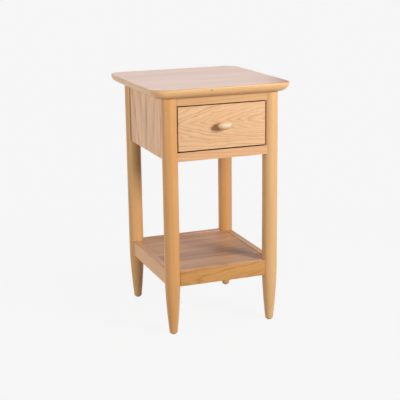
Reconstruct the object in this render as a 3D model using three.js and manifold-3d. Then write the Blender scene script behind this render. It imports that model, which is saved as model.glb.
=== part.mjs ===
// Bedside cabinet in light oak: overhanging top, one drawer with an oval knob, four turned legs
// that taper to small feet, and a framed shelf near the floor.
//
// Millimetres, +Z up. The drawer faces -Y and +X is to the right of a person who faces it. Pieces
// are laid out about the middle of the four legs. The finished cabinet is then moved so that the
// origin is on the floor under the middle of the top, which sits a little off the legs' middle.

import * as THREE from 'three';
import { mergeVertices } from 'three/addons/utils/BufferGeometryUtils.js';
import Module from 'manifold-3d';

const wasm = await Module();
wasm.setup();

// ---- Driving sizes -------------------------------------------------------------------------

const GAP = 0.3; // clearance between two fixed pieces that touch

// Top board: a thin upright edge, then a long rounded undercut.
const HEIGHT = 660;
const TOP_HALF_X = 191.9;
const TOP_HALF_Y = 204.2;
const TOP_SHIFT = { x: -2.6, y: 2.4 }; // from the middle of the legs to the middle of the top
const TOP_THICKNESS = 25.5;
const TOP_CORNER_RADIUS = 39;
const TOP_ARRIS = 2.5;
const TOP_EDGE_BAND = 3;
const TOP_UNDERCUT = 30;
const UNDERSIDE = HEIGHT - TOP_THICKNESS;

// Turned legs.
const LEG_X = 140.3;
const LEG_Y = 157.9;
const LEG_RADIUS = 20.4;
const LEG_BOTTOM = 2;
const TAPER_START = 150;
const TAPER_POWER = 1.65;
const TAPER_DROP = 10.2; // how much smaller the radius is at floor level
const FOOT_ROUNDING = 3;
const LEG_SIDES = 24;

// Glides under the feet.
const GLIDE_RADIUS = 6.5;
const GLIDE_PIN_RADIUS = 1.5;
const GLIDE_PIN_TOP = 15;

// Drawer case between the legs.
const RAIL_FACE = 172.4; // front face of the two front rails, from the centre
const RAIL_THICKNESS = 22;
const CASE_BOTTOM = 470.2;
const DRAWER_RAIL_TOP = 493.7;
const DRAWER_RAIL_DEPTH = 40;
const TOP_RAIL_BOTTOM = 613.7;
const SIDE_FACE = 153.5; // outer face of a side panel, from the centre
const SIDE_THICKNESS = 18;
const SIDE_BOTTOM = 473.1;
const BACK_THICKNESS = 12;

// Tenons and tongues that join rails and panels to the legs.
const TENON_DEPTH = 14;
const TENON_THICKNESS = 8;
const TENON_SHOULDER = 4; // step above and below a rail's tenon

// Wooden drawer slides on the inside of the case.
const SLIDE_INNER = 100; // inner edge of runners and kickers, from the centre
const RUNNER_THICKNESS = 18;
const RUNNER_TOP = 495.2;
const GUIDE_FACE = 119.5;
const GUIDE_HEIGHT = 18;
const GUIDE_HALF_LENGTH = 131;

// Drawer stops on the drawer rail.
const STOP_X = 75;
const STOP_WIDTH = 30;
const STOP_HEIGHT = 5.5;
const STOP_DEPTH = 18;

// Drawer.
const FRONT_BOTTOM = 495.9;
const FRONT_TOP = 611.7;
const FRONT_THICKNESS = 20;
const FRONT_LEFT = -122.2; // at the show face
const FRONT_RIGHT = 119.5;
const FRONT_BACK_HALF_X = 118.6; // behind the bevel that clears the round legs
const FRONT_BEVEL_DEPTH = 7.4;
const BOX_HALF_X = 118.4;
const BOX_SIDE_THICKNESS = 12;
const BOX_BOTTOM = 495.5;
const BOX_TOP = 603.5;
const BOX_END = 140; // rear end of the drawer sides
const BOX_BACK_FACE = 134;
const BOX_BACK_THICKNESS = 10;
const BOX_BACK_STEP = 5; // how far the back stays below the top of the sides
const PANEL_BOTTOM = 506;
const PANEL_THICKNESS = 6;
const GROOVE_DEPTH = 4;
const TAIL_COUNT = 3;
const TAIL_LENGTH = 12;
const TAIL_ROOT_HALF = 9;
const TAIL_FLARE = 2;

// Oval knob.
const KNOB_Z = 558.5;
const KNOB_REACH = 18.6; // from the drawer face to the middle of the head
const KNOB_HALF = { x: 20, y: 9.5, z: 10.5 };
const KNOB_NECK_RADIUS = 7;
const KNOB_BORE_DEPTH = 13;

// Lower shelf.
const SHELF_RAIL_TOP = 176.1;
const SHELF_RAIL_BOTTOM = 132.9;
const SHELF_RAIL_THICKNESS = 18;
const SHELF_FRONT_FACE = 168.8;
const SHELF_SIDE_FACE = 153.3;
const SHELF_RECESS = 2;
const SHELF_THICKNESS = 12;
const SHELF_TENON_SHOULDER = 7;
const CLEAT_SIZE = 18;
const CLEAT_HALF_X = 116;
const CLEAT_HALF_Y = 128;

// Countersunk screws.
const SCREW_RADIUS = 2;
const SCREW_HEAD_RADIUS = 4;
const SCREW_HEAD_HEIGHT = 2.4;
const SCREW_SIDES = 8;
const SCREW_LENGTH = { top: 36, guide: 30, runner: 30, shelf: 26, drawerBottom: 20 };
const TOP_SCREW_X = 118;
const TOP_SCREW_Y = 100;
const GUIDE_SCREW_Y = 100;
const RUNNER_SCREW_Y = 75;
const DRAWER_BOTTOM_SCREW_X = 60;

const OAK = { color: 0xdcae7e, roughness: 0.5, metalness: 0 };
const PALE_OAK = { color: 0xe9d2ae, roughness: 0.45, metalness: 0 };
const BOX_WOOD = { color: 0xdfc39a, roughness: 0.6, metalness: 0 };
const STEEL = { color: 0xb9bcc0, roughness: 0.35, metalness: 1 };
const GLIDE_PLASTIC = { color: 0x5a4636, roughness: 0.7, metalness: 0 };

// ---- Geometry helpers ----------------------------------------------------------------------

function toSolid(geometry) {
  const bare = geometry.clone();
  bare.deleteAttribute('normal');
  bare.deleteAttribute('uv');
  const merged = mergeVertices(bare, 1e-4);
  return new wasm.Manifold(new wasm.Mesh({
    numProp: 3,
    vertProperties: new Float32Array(merged.attributes.position.array),
    triVerts: new Uint32Array(merged.index.array),
  }));
}

function toGeometry(solid) {
  const mesh = solid.getMesh();
  const geometry = new THREE.BufferGeometry();
  geometry.setAttribute('position', new THREE.BufferAttribute(mesh.vertProperties, 3));
  geometry.setIndex(new THREE.BufferAttribute(mesh.triVerts, 1));
  geometry.computeVertexNormals();
  return geometry;
}

function ordered([a, b]) {
  return [Math.min(a, b), Math.max(a, b)];
}

// A box given by its extent along each axis; an extent may be written in either order.
function block(x, y, z) {
  const [[x0, x1], [y0, y1], [z0, z1]] = [ordered(x), ordered(y), ordered(z)];
  const box = new THREE.BoxGeometry(x1 - x0, y1 - y0, z1 - z0);
  box.translate((x0 + x1) / 2, (y0 + y1) / 2, (z0 + z1) / 2);
  return toSolid(box);
}

function grow(extent, amount) {
  const [low, high] = ordered(extent);
  return [low - amount, high + amount];
}

// A round solid about +Z from [radius, height] pairs that run from the bottom to the top.
function turned(profile, sides) {
  const points = profile.map(([radius, height]) => new THREE.Vector2(radius, height));
  const lathe = new THREE.LatheGeometry(points, sides);
  lathe.rotateX(Math.PI / 2);
  return lathe;
}

function cylinder(radius, low, high, sides) {
  return turned([[0, low], [radius, low], [radius, high], [0, high]], sides);
}

// Skin over a stack of convex outlines that all have the same number of points, lowest first.
function loft(rings) {
  const count = rings[0].length;
  const index = [];
  for (let ring = 0; ring + 1 < rings.length; ring += 1) {
    const low = ring * count;
    const high = low + count;
    for (let k = 0; k < count; k += 1) {
      const next = (k + 1) % count;
      index.push(low + k, low + next, high + next);
      index.push(low + k, high + next, high + k);
    }
  }
  const last = (rings.length - 1) * count;
  for (let k = 1; k + 1 < count; k += 1) {
    index.push(0, k + 1, k);
    index.push(last, last + k, last + k + 1);
  }
  const positions = rings.flat().flatMap((point) => point.toArray());
  const geometry = new THREE.BufferGeometry();
  geometry.setAttribute('position', new THREE.Float32BufferAttribute(positions, 3));
  geometry.setIndex(index);
  return geometry;
}

function roundedOutline(halfX, halfY, radius, z) {
  const steps = 5;
  const corners = [[1, 1], [-1, 1], [-1, -1], [1, -1]];
  return corners.flatMap(([signX, signY], quarter) => {
    const arc = [];
    for (let step = 0; step <= steps; step += 1) {
      const angle = (quarter + step / steps) * (Math.PI / 2);
      const x = signX * (halfX - radius) + radius * Math.cos(angle);
      const y = signY * (halfY - radius) + radius * Math.sin(angle);
      arc.push(new THREE.Vector3(x, y, z));
    }
    return arc;
  });
}

// ---- The list of pieces --------------------------------------------------------------------

const pieces = new Map();

function addPiece(name, solid, finish) {
  pieces.set(name, { solid, finish });
}

function cutPiece(name, tool) {
  const piece = pieces.get(name);
  piece.solid = piece.solid.subtract(tool);
}

const SIDES = [{ word: 'left', sign: -1 }, { word: 'right', sign: 1 }];
const ENDS = [{ word: 'front', sign: -1 }, { word: 'back', sign: 1 }];

function legName(signX, signY) {
  return `leg_${signY < 0 ? 'front' : 'back'}_${signX < 0 ? 'left' : 'right'}`;
}

// ---- Top -----------------------------------------------------------------------------------

function topRing(inset, z) {
  return roundedOutline(TOP_HALF_X - inset, TOP_HALF_Y - inset, TOP_CORNER_RADIUS - inset, z);
}

function makeTop() {
  const rings = [];
  const curveSteps = 6;
  const arrisSteps = 3;
  for (let step = curveSteps; step >= 0; step -= 1) {
    const angle = (step / curveSteps) * (Math.PI / 2);
    const drop = (TOP_THICKNESS - TOP_EDGE_BAND) * Math.sin(angle);
    rings.push(topRing(TOP_UNDERCUT * (1 - Math.cos(angle)), HEIGHT - TOP_EDGE_BAND - drop));
  }
  for (let step = 0; step <= arrisSteps; step += 1) {
    const angle = (step / arrisSteps) * (Math.PI / 2);
    const inset = TOP_ARRIS * (1 - Math.cos(angle));
    rings.push(topRing(inset, HEIGHT - TOP_ARRIS * (1 - Math.sin(angle))));
  }
  const board = loft(rings);
  board.translate(TOP_SHIFT.x, TOP_SHIFT.y, 0);
  addPiece('top', toSolid(board), OAK);
}

// ---- Legs and glides -----------------------------------------------------------------------

function taperRadius(height) {
  return LEG_RADIUS - TAPER_DROP * (1 - height / TAPER_START) ** TAPER_POWER;
}

function legProfile() {
  const bottom = LEG_BOTTOM + GAP;
  const roundingTop = bottom + FOOT_ROUNDING;
  const profile = [[0, bottom]];
  const roundingSteps = 3;
  for (let step = 0; step <= roundingSteps; step += 1) {
    const angle = (step / roundingSteps) * (Math.PI / 2);
    const radius = taperRadius(roundingTop) - FOOT_ROUNDING * (1 - Math.sin(angle));
    profile.push([radius, roundingTop - FOOT_ROUNDING * Math.cos(angle)]);
  }
  const taperSteps = 6;
  for (let step = 1; step <= taperSteps; step += 1) {
    const height = roundingTop + (TAPER_START - roundingTop) * (step / taperSteps);
    profile.push([taperRadius(height), height]);
  }
  profile.push([LEG_RADIUS, UNDERSIDE - GAP], [0, UNDERSIDE - GAP]);
  return profile;
}

function makeLegs() {
  for (const end of ENDS) {
    for (const side of SIDES) {
      const leg = turned(legProfile(), LEG_SIDES);
      leg.translate(side.sign * LEG_X, end.sign * LEG_Y, 0);
      addPiece(legName(side.sign, end.sign), toSolid(leg), OAK);
    }
  }
}

function makeGlides() {
  const sides = 12;
  const profile = [
    [0, 0],
    [GLIDE_RADIUS, 0],
    [GLIDE_RADIUS, LEG_BOTTOM],
    [GLIDE_PIN_RADIUS, LEG_BOTTOM],
    [GLIDE_PIN_RADIUS, GLIDE_PIN_TOP - GLIDE_PIN_RADIUS],
    [0, GLIDE_PIN_TOP],
  ];
  for (const end of ENDS) {
    for (const side of SIDES) {
      const glide = turned(profile, sides);
      const hole = cylinder(GLIDE_PIN_RADIUS + GAP, LEG_BOTTOM - 1, GLIDE_PIN_TOP + GAP, sides);
      for (const shape of [glide, hole]) {
        shape.translate(side.sign * LEG_X, end.sign * LEG_Y, 0);
      }
      addPiece(`glide_${end.word}_${side.word}`, toSolid(glide), GLIDE_PLASTIC);
      cutPiece(legName(side.sign, end.sign), toSolid(hole));
    }
  }
}

// A column a little larger than a leg: what a piece that meets the leg is cut back by.
function legClearance(signX, signY) {
  const column = cylinder(LEG_RADIUS + GAP, -1, HEIGHT, LEG_SIDES);
  column.translate(signX * LEG_X, signY * LEG_Y, 0);
  return toSolid(column);
}

function clearOfLegs(solid) {
  let cut = solid;
  for (const end of ENDS) {
    for (const side of SIDES) {
      cut = cut.subtract(legClearance(side.sign, end.sign));
    }
  }
  return cut;
}

// ---- Rails and panels between the legs -----------------------------------------------------

// A member runs between two legs, along 'x' or along 'y', on the side of the cabinet that sign
// names. Its ends are scribed to the round legs and carry a tenon that enters each of them.
function addMember(member) {
  const { name, axis, sign, face, depth, low, high, halfLength, tenon } = member;
  const alongX = axis === 'x';
  const lay = (along, across, z) => (alongX ? block(along, across, z) : block(across, along, z));
  const legCentre = alongX ? LEG_X : LEG_Y;
  const tenonStart = legCentre - LEG_RADIUS - 1;
  const tenonEnd = legCentre - LEG_RADIUS + TENON_DEPTH;
  const across = [sign * (tenon.at - tenon.thickness / 2), sign * (tenon.at + tenon.thickness / 2)];
  const body = lay([-halfLength, halfLength], [sign * face, sign * (face - depth)], [low, high]);
  let solid = clearOfLegs(body);
  for (const end of [-1, 1]) {
    solid = solid.add(lay([end * tenonStart, end * tenonEnd], across, [tenon.low, tenon.high]));
    const mortise = lay(
      grow([end * tenonStart, end * tenonEnd], GAP),
      grow(across, GAP),
      grow([tenon.low, tenon.high], GAP),
    );
    cutPiece(alongX ? legName(end, sign) : legName(sign, end), mortise);
  }
  addPiece(name, solid, OAK);
}

function makeFrontRails() {
  const upperHigh = UNDERSIDE - GAP;
  addMember({
    name: 'front_rail_top',
    axis: 'x',
    sign: -1,
    face: RAIL_FACE,
    depth: RAIL_THICKNESS,
    low: TOP_RAIL_BOTTOM,
    high: upperHigh,
    halfLength: LEG_X,
    tenon: {
      at: RAIL_FACE - RAIL_THICKNESS / 2,
      thickness: TENON_THICKNESS,
      low: TOP_RAIL_BOTTOM + TENON_SHOULDER,
      high: upperHigh - TENON_SHOULDER,
    },
  });
  addMember({
    name: 'front_rail_bottom',
    axis: 'x',
    sign: -1,
    face: RAIL_FACE,
    depth: DRAWER_RAIL_DEPTH,
    low: CASE_BOTTOM,
    high: DRAWER_RAIL_TOP,
    halfLength: SIDE_FACE - SIDE_THICKNESS - GAP,
    tenon: {
      at: RAIL_FACE - RAIL_THICKNESS / 2,
      thickness: TENON_THICKNESS,
      low: CASE_BOTTOM + TENON_SHOULDER,
      high: DRAWER_RAIL_TOP - TENON_SHOULDER,
    },
  });
}

function makePanels() {
  const high = UNDERSIDE - GAP;
  for (const side of SIDES) {
    addMember({
      name: `side_panel_${side.word}`,
      axis: 'y',
      sign: side.sign,
      face: SIDE_FACE,
      depth: SIDE_THICKNESS,
      low: SIDE_BOTTOM,
      high,
      halfLength: LEG_Y,
      tenon: { at: SIDE_FACE - SIDE_THICKNESS / 2, thickness: TENON_THICKNESS, low: SIDE_BOTTOM, high },
    });
  }
  addMember({
    name: 'back_panel',
    axis: 'x',
    sign: 1,
    face: RAIL_FACE,
    depth: BACK_THICKNESS,
    low: SIDE_BOTTOM,
    high,
    halfLength: LEG_X,
    tenon: { at: RAIL_FACE - BACK_THICKNESS / 2, thickness: TENON_THICKNESS, low: SIDE_BOTTOM, high },
  });
}

function makeShelfRails() {
  const shared = {
    depth: SHELF_RAIL_THICKNESS,
    low: SHELF_RAIL_BOTTOM,
    high: SHELF_RAIL_TOP,
  };
  const tenonOn = (face) => ({
    at: face - SHELF_RAIL_THICKNESS / 2,
    thickness: TENON_THICKNESS,
    low: SHELF_RAIL_BOTTOM + SHELF_TENON_SHOULDER,
    high: SHELF_RAIL_TOP - SHELF_TENON_SHOULDER,
  });
  for (const end of ENDS) {
    addMember({
      ...shared,
      name: `shelf_rail_${end.word}`,
      axis: 'x',
      sign: end.sign,
      face: SHELF_FRONT_FACE,
      halfLength: LEG_X,
      tenon: tenonOn(SHELF_FRONT_FACE),
    });
  }
  for (const side of SIDES) {
    addMember({
      ...shared,
      name: `shelf_rail_${side.word}`,
      axis: 'y',
      sign: side.sign,
      face: SHELF_SIDE_FACE,
      halfLength: LEG_Y,
      tenon: tenonOn(SHELF_SIDE_FACE),
    });
  }
}

// ---- Shelf board and its cleats ------------------------------------------------------------

const SHELF_TOP = SHELF_RAIL_TOP - SHELF_RECESS;
const SHELF_UNDERSIDE = SHELF_TOP - SHELF_THICKNESS;
const SHELF_HALF_X = SHELF_SIDE_FACE - SHELF_RAIL_THICKNESS - GAP;
const SHELF_HALF_Y = SHELF_FRONT_FACE - SHELF_RAIL_THICKNESS - GAP;
const CLEAT_BOTTOM = SHELF_UNDERSIDE - GAP - CLEAT_SIZE;

function makeShelf() {
  const board = block(
    [-SHELF_HALF_X, SHELF_HALF_X],
    [-SHELF_HALF_Y, SHELF_HALF_Y],
    [SHELF_UNDERSIDE, SHELF_TOP],
  );
  addPiece('shelf_board', clearOfLegs(board), OAK);
  const z = [CLEAT_BOTTOM, SHELF_UNDERSIDE - GAP];
  for (const end of ENDS) {
    const y = [end.sign * SHELF_HALF_Y, end.sign * (SHELF_HALF_Y - CLEAT_SIZE)];
    addPiece(`shelf_cleat_${end.word}`, block([-CLEAT_HALF_X, CLEAT_HALF_X], y, z), OAK);
  }
  for (const side of SIDES) {
    const x = [side.sign * SHELF_HALF_X, side.sign * (SHELF_HALF_X - CLEAT_SIZE)];
    addPiece(`shelf_cleat_${side.word}`, block(x, [-CLEAT_HALF_Y, CLEAT_HALF_Y], z), OAK);
  }
}

// ---- Drawer slides and stops ---------------------------------------------------------------

const SLIDE_OUTER = SIDE_FACE - SIDE_THICKNESS - GAP;
const SLIDE_BACK = RAIL_FACE - BACK_THICKNESS - GAP;

function makeSlides() {
  const runnerFront = -(RAIL_FACE - DRAWER_RAIL_DEPTH - GAP);
  const kickerFront = -(RAIL_FACE - RAIL_THICKNESS - GAP);
  const guideLow = RUNNER_TOP + GAP;
  for (const side of SIDES) {
    const slideX = [side.sign * SLIDE_INNER, side.sign * SLIDE_OUTER];
    const guideX = [side.sign * GUIDE_FACE, side.sign * SLIDE_OUTER];
    const runner = block(slideX, [runnerFront, SLIDE_BACK], [RUNNER_TOP - RUNNER_THICKNESS, RUNNER_TOP]);
    const kicker = block(slideX, [kickerFront, SLIDE_BACK], [TOP_RAIL_BOTTOM, UNDERSIDE - GAP]);
    const guide = block(guideX, [-GUIDE_HALF_LENGTH, GUIDE_HALF_LENGTH], [guideLow, guideLow + GUIDE_HEIGHT]);
    addPiece(`drawer_runner_${side.word}`, clearOfLegs(runner), OAK);
    addPiece(`drawer_kicker_${side.word}`, clearOfLegs(kicker), OAK);
    addPiece(`drawer_guide_${side.word}`, guide, OAK);
  }
}

function makeStops() {
  const front = -(RAIL_FACE - FRONT_THICKNESS - GAP);
  const low = DRAWER_RAIL_TOP + GAP;
  for (const side of SIDES) {
    const centre = side.sign * STOP_X;
    const x = [centre - STOP_WIDTH / 2, centre + STOP_WIDTH / 2];
    const stop = block(x, [front, front + STOP_DEPTH], [low, low + STOP_HEIGHT]);
    addPiece(`drawer_stop_${side.word}`, stop, OAK);
  }
}

// ---- Drawer --------------------------------------------------------------------------------

const FRONT_BACK_FACE = -(RAIL_FACE - FRONT_THICKNESS);
const BOX_INNER = BOX_HALF_X - BOX_SIDE_THICKNESS;
const PANEL_TOP = PANEL_BOTTOM + PANEL_THICKNESS;

// A dovetail as a flared prism in the thickness of a drawer side. Grown, it is the socket.
function tail(sign, centreZ, growth) {
  const root = FRONT_BACK_FACE + 1;
  const tip = FRONT_BACK_FACE - TAIL_LENGTH - growth;
  const rootHalf = TAIL_ROOT_HALF + growth;
  const tipHalf = TAIL_ROOT_HALF + TAIL_FLARE + growth;
  const inner = sign * (BOX_INNER - growth);
  const outer = sign * (BOX_HALF_X + (growth > 0 ? TAIL_FLARE : 0));
  const [x0, x1] = ordered([inner, outer]);
  const outline = new THREE.Shape([
    new THREE.Vector2(root, centreZ - rootHalf),
    new THREE.Vector2(root, centreZ + rootHalf),
    new THREE.Vector2(tip, centreZ + tipHalf),
    new THREE.Vector2(tip, centreZ - tipHalf),
  ]);
  const prism = new THREE.ExtrudeGeometry(outline, { depth: x1 - x0, bevelEnabled: false });
  const turn = new THREE.Matrix4().makeBasis(
    new THREE.Vector3(0, 1, 0),
    new THREE.Vector3(0, 0, 1),
    new THREE.Vector3(1, 0, 0),
  );
  prism.applyMatrix4(turn);
  prism.translate(x0, 0, 0);
  return toSolid(prism);
}

function tailHeights() {
  const pitch = (BOX_TOP - BOX_BOTTOM) / TAIL_COUNT;
  return Array.from({ length: TAIL_COUNT }, (_, k) => BOX_BOTTOM + pitch * (k + 0.5));
}

function makeDrawerFront() {
  const bevelEnd = -RAIL_FACE + FRONT_BEVEL_DEPTH;
  const shape = new THREE.Shape([
    new THREE.Vector2(FRONT_RIGHT, -RAIL_FACE),
    new THREE.Vector2(FRONT_BACK_HALF_X, bevelEnd),
    new THREE.Vector2(FRONT_BACK_HALF_X, FRONT_BACK_FACE),
    new THREE.Vector2(-FRONT_BACK_HALF_X, FRONT_BACK_FACE),
    new THREE.Vector2(-FRONT_BACK_HALF_X, bevelEnd),
    new THREE.Vector2(FRONT_LEFT, -RAIL_FACE),
  ]);
  const depth = FRONT_TOP - FRONT_BOTTOM;
  const board = new THREE.ExtrudeGeometry(shape, { depth, bevelEnabled: false });
  board.translate(0, 0, FRONT_BOTTOM);
  const groove = block(
    [-BOX_INNER - GROOVE_DEPTH - GAP, BOX_INNER + GROOVE_DEPTH + GAP],
    [FRONT_BACK_FACE + 1, FRONT_BACK_FACE - GROOVE_DEPTH - GAP],
    grow([PANEL_BOTTOM, PANEL_TOP], GAP),
  );
  let solid = toSolid(board).subtract(groove);
  for (const side of SIDES) {
    for (const height of tailHeights()) {
      solid = solid.subtract(tail(side.sign, height, GAP));
    }
  }
  addPiece('drawer_front', solid, OAK);
}

function makeDrawerSides() {
  for (const { word, sign } of SIDES) {
    const start = FRONT_BACK_FACE + GAP;
    let solid = block([sign * BOX_INNER, sign * BOX_HALF_X], [start, BOX_END], [BOX_BOTTOM, BOX_TOP]);
    for (const height of tailHeights()) {
      solid = solid.add(tail(sign, height, 0));
    }
    const grooveX = [sign * (BOX_INNER - 1), sign * (BOX_INNER + GROOVE_DEPTH + GAP)];
    const panelGroove = block(
      grooveX,
      [FRONT_BACK_FACE - TAIL_LENGTH - 1, BOX_END + 1],
      grow([PANEL_BOTTOM, PANEL_TOP], GAP),
    );
    const backHousing = block(
      grooveX,
      grow([BOX_BACK_FACE - BOX_BACK_THICKNESS, BOX_BACK_FACE], GAP),
      [PANEL_TOP, BOX_TOP + 1],
    );
    addPiece(`drawer_side_${word}`, solid.subtract(panelGroove).subtract(backHousing), BOX_WOOD);
  }
}

function makeDrawerBack() {
  const reach = BOX_INNER + GROOVE_DEPTH;
  const y = [BOX_BACK_FACE - BOX_BACK_THICKNESS, BOX_BACK_FACE];
  addPiece('drawer_back', block([-reach, reach], y, [PANEL_TOP + GAP, BOX_TOP - BOX_BACK_STEP]), BOX_WOOD);
}

function makeDrawerBottom() {
  const reach = BOX_INNER + GROOVE_DEPTH;
  const y = [FRONT_BACK_FACE - GROOVE_DEPTH, BOX_END - 1];
  addPiece('drawer_bottom', block([-reach, reach], y, [PANEL_BOTTOM, PANEL_TOP]), BOX_WOOD);
}

// ---- Knob ----------------------------------------------------------------------------------

function makeKnob() {
  const headY = -RAIL_FACE - KNOB_REACH;
  const head = new THREE.SphereGeometry(1, 20, 12);
  head.scale(KNOB_HALF.x, KNOB_HALF.y, KNOB_HALF.z);
  head.translate(0, headY, KNOB_Z);
  const neck = cylinder(KNOB_NECK_RADIUS, 0, KNOB_REACH - GAP, 16);
  const bore = cylinder(SCREW_RADIUS + GAP, -KNOB_BORE_DEPTH, 1, SCREW_SIDES);
  for (const shape of [neck, bore]) {
    shape.rotateX(-Math.PI / 2);
  }
  neck.translate(0, headY, KNOB_Z);
  bore.translate(0, -RAIL_FACE - GAP, KNOB_Z);
  addPiece('drawer_knob', toSolid(head).add(toSolid(neck)).subtract(toSolid(bore)), PALE_OAK);
}

// ---- Screws --------------------------------------------------------------------------------

// A countersunk screw about +Z: the head's flat face is at 0 and the shank runs to -length.
function screwShape(length, growth) {
  const radius = SCREW_RADIUS + growth;
  const headRadius = SCREW_HEAD_RADIUS + growth;
  const tip = -length - growth;
  return turned([
    [0, tip],
    [radius, tip + radius],
    [radius, -SCREW_HEAD_HEIGHT],
    [headRadius, 0],
    [0, 0],
  ], SCREW_SIDES);
}

// The hole for a screw: the screw's own shape with clearance, and open above the head.
function screwHole(length) {
  const mouth = cylinder(SCREW_HEAD_RADIUS + GAP, -GAP, 2, SCREW_SIDES);
  return toSolid(screwShape(length, GAP)).add(toSolid(mouth));
}

// at is the middle of the head's face, outward the way the head faces, through the pierced pieces.
function addScrew({ name, at, outward, length, through }) {
  const turn = new THREE.Quaternion().setFromUnitVectors(
    new THREE.Vector3(0, 0, 1),
    new THREE.Vector3(...outward),
  );
  const place = new THREE.Matrix4().compose(
    new THREE.Vector3(...at),
    turn,
    new THREE.Vector3(1, 1, 1),
  );
  const screw = screwShape(length, 0);
  screw.applyMatrix4(place);
  const rows = place.elements;
  const hole = screwHole(length).transform([...rows]);
  addPiece(name, toSolid(screw), STEEL);
  for (const pierced of through) {
    cutPiece(pierced, hole);
  }
}

function addCaseScrews() {
  const runnerScrewX = (GUIDE_FACE + SLIDE_OUTER) / 2;
  const guideZ = RUNNER_TOP + GAP + GUIDE_HEIGHT / 2;
  for (const side of SIDES) {
    for (const end of ENDS) {
      const place = `${end.word}_${side.word}`;
      addScrew({
        name: `top_screw_${place}`,
        at: [side.sign * TOP_SCREW_X, end.sign * TOP_SCREW_Y, TOP_RAIL_BOTTOM + GAP],
        outward: [0, 0, -1],
        length: SCREW_LENGTH.top,
        through: [`drawer_kicker_${side.word}`, 'top'],
      });
      addScrew({
        name: `guide_screw_${place}`,
        at: [side.sign * (GUIDE_FACE + GAP), end.sign * GUIDE_SCREW_Y, guideZ],
        outward: [-side.sign, 0, 0],
        length: SCREW_LENGTH.guide,
        through: [`drawer_guide_${side.word}`, `side_panel_${side.word}`],
      });
      addScrew({
        name: `runner_screw_${place}`,
        at: [side.sign * runnerScrewX, end.sign * RUNNER_SCREW_Y, RUNNER_TOP - RUNNER_THICKNESS + GAP],
        outward: [0, 0, -1],
        length: SCREW_LENGTH.runner,
        through: [`drawer_runner_${side.word}`, `drawer_guide_${side.word}`],
      });
    }
  }
}

function addShelfScrews() {
  const z = CLEAT_BOTTOM + GAP;
  for (const end of ENDS) {
    addScrew({
      name: `shelf_screw_${end.word}`,
      at: [0, end.sign * (SHELF_HALF_Y - CLEAT_SIZE / 2), z],
      outward: [0, 0, -1],
      length: SCREW_LENGTH.shelf,
      through: [`shelf_cleat_${end.word}`, 'shelf_board'],
    });
  }
  for (const side of SIDES) {
    addScrew({
      name: `shelf_screw_${side.word}`,
      at: [side.sign * (SHELF_HALF_X - CLEAT_SIZE / 2), 0, z],
      outward: [0, 0, -1],
      length: SCREW_LENGTH.shelf,
      through: [`shelf_cleat_${side.word}`, 'shelf_board'],
    });
  }
}

function addDrawerScrews() {
  addScrew({
    name: 'knob_screw',
    at: [0, FRONT_BACK_FACE - GAP, KNOB_Z],
    outward: [0, 1, 0],
    length: FRONT_THICKNESS + KNOB_BORE_DEPTH - 1,
    through: ['drawer_front'],
  });
  for (const side of SIDES) {
    addScrew({
      name: `drawer_bottom_screw_${side.word}`,
      at: [
        side.sign * DRAWER_BOTTOM_SCREW_X,
        BOX_BACK_FACE - BOX_BACK_THICKNESS / 2,
        PANEL_BOTTOM + GAP,
      ],
      outward: [0, 0, -1],
      length: SCREW_LENGTH.drawerBottom,
      through: ['drawer_bottom', 'drawer_back'],
    });
  }
}

// ---- Assembly ------------------------------------------------------------------------------

makeTop();
makeLegs();
makeGlides();
makeFrontRails();
makePanels();
makeShelfRails();
makeShelf();
makeSlides();
makeStops();
makeDrawerFront();
makeDrawerSides();
makeDrawerBack();
makeDrawerBottom();
makeKnob();
addCaseScrews();
addShelfScrews();
addDrawerScrews();

const cabinet = new THREE.Group();
cabinet.name = 'bedside_cabinet';
for (const [name, { solid, finish }] of pieces) {
  const placed = solid.translate([-TOP_SHIFT.x, -TOP_SHIFT.y, 0]);
  const mesh = new THREE.Mesh(toGeometry(placed), new THREE.MeshStandardMaterial(finish));
  mesh.name = name;
  cabinet.add(mesh);
}

export default cabinet;
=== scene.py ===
import math

import bmesh
import bpy
from mathutils import Matrix, Vector


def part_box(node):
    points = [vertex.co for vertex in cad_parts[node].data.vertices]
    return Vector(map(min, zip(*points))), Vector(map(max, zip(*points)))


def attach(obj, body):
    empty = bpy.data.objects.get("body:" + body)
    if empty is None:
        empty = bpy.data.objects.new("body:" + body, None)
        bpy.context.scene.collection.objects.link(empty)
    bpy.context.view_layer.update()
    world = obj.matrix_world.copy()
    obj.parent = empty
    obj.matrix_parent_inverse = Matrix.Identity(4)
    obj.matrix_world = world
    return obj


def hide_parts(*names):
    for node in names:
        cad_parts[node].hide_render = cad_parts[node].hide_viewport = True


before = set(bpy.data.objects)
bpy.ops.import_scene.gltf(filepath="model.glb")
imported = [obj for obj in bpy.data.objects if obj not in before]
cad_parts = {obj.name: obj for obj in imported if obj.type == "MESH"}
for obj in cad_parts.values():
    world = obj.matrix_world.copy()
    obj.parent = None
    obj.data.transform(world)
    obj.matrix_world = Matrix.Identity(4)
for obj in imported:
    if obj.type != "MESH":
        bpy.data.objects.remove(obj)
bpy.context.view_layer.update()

MM = 0.001
UP = (0, 0, 1)
DOWN = (0, 0, -1)
SIDES = ("left", "right")
ENDS = ("front", "back")


# ---- Node trees ----------------------------------------------------------------------------

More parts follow.
